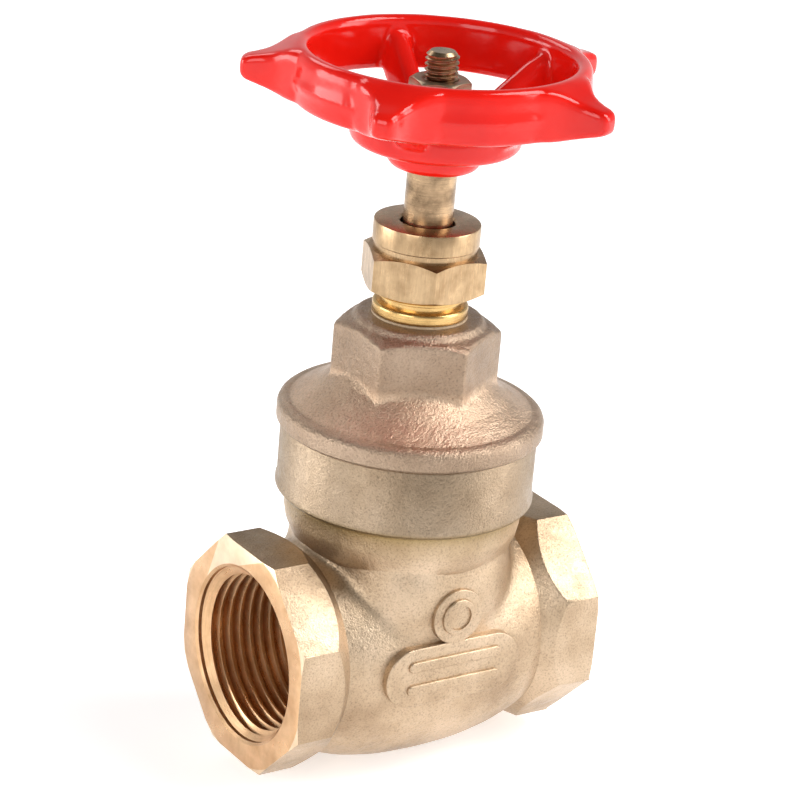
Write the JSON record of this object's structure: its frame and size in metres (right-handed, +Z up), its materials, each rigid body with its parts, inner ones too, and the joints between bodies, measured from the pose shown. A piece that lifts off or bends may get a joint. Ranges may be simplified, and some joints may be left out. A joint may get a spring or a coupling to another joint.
{
  "type": "gate valve",
  "caption": "Small bronze gate valve with internally threaded octagonal ends, screwed bonnet, gland nut and a red lobed handwheel that lifts a solid wedge.",
  "frame": {"origin": "centre of the inlet end face, on the pipe axis", "axes": "+X along the pipe axis from inlet to outlet, +Z up the stem towards the handwheel, +Y completes the right-handed set (the raised badge faces -Y)"},
  "size_m": [0.0563, 0.056, 0.1113],
  "materials": {
    "cast_bronze": "sand-cast, fine grained, satin",
    "drawn_brass": "drawn hexagon bar, bright",
    "turned_brass": "turned, bright",
    "stem_brass": "turned, slightly dulled",
    "wheel_fixings": "dull, chamfered",
    "red_enamel": "thick glossy dipped enamel",
    "packing_graphite": "pressed graphite and fibre",
    "joint_fibre": "pressed fibre sheet"
  },
  "bodies": {
    "housing": {"body": "cast_bronze", "bonnet": "cast_bronze", "bonnet_joint_ring": "joint_fibre", "stuffing_box": "turned_brass", "stuffing_box_seal": "joint_fibre", "packing_ring_1": "packing_graphite", "packing_ring_2": "packing_graphite", "packing_ring_3": "packing_graphite", "packing_ring_4": "packing_graphite", "gland": "turned_brass", "gland_nut": "drawn_brass"},
    "spindle": {"stem": "stem_brass", "handwheel": "red_enamel", "handwheel_washer": "wheel_fixings", "handwheel_nut": "wheel_fixings"},
    "gate": {"wedge": "cast_bronze"}
  },
  "joints": [
    {"name": "stem_turn", "type": "hinge", "parent": "housing", "child": "spindle", "pos_m": [0.027, 0, 0.08], "axis": [0, 0, 1], "range_deg": [0, 2400]},
    {"name": "wedge_lift", "type": "slide", "parent": "housing", "child": "gate", "axis": [0, 0, 1], "range_m": [0, 0.02]}
  ],
  "couplings": [
    {"joint": "wedge_lift", "follows": "stem_turn", "m_per_rad": 0.00047746}
  ]
}
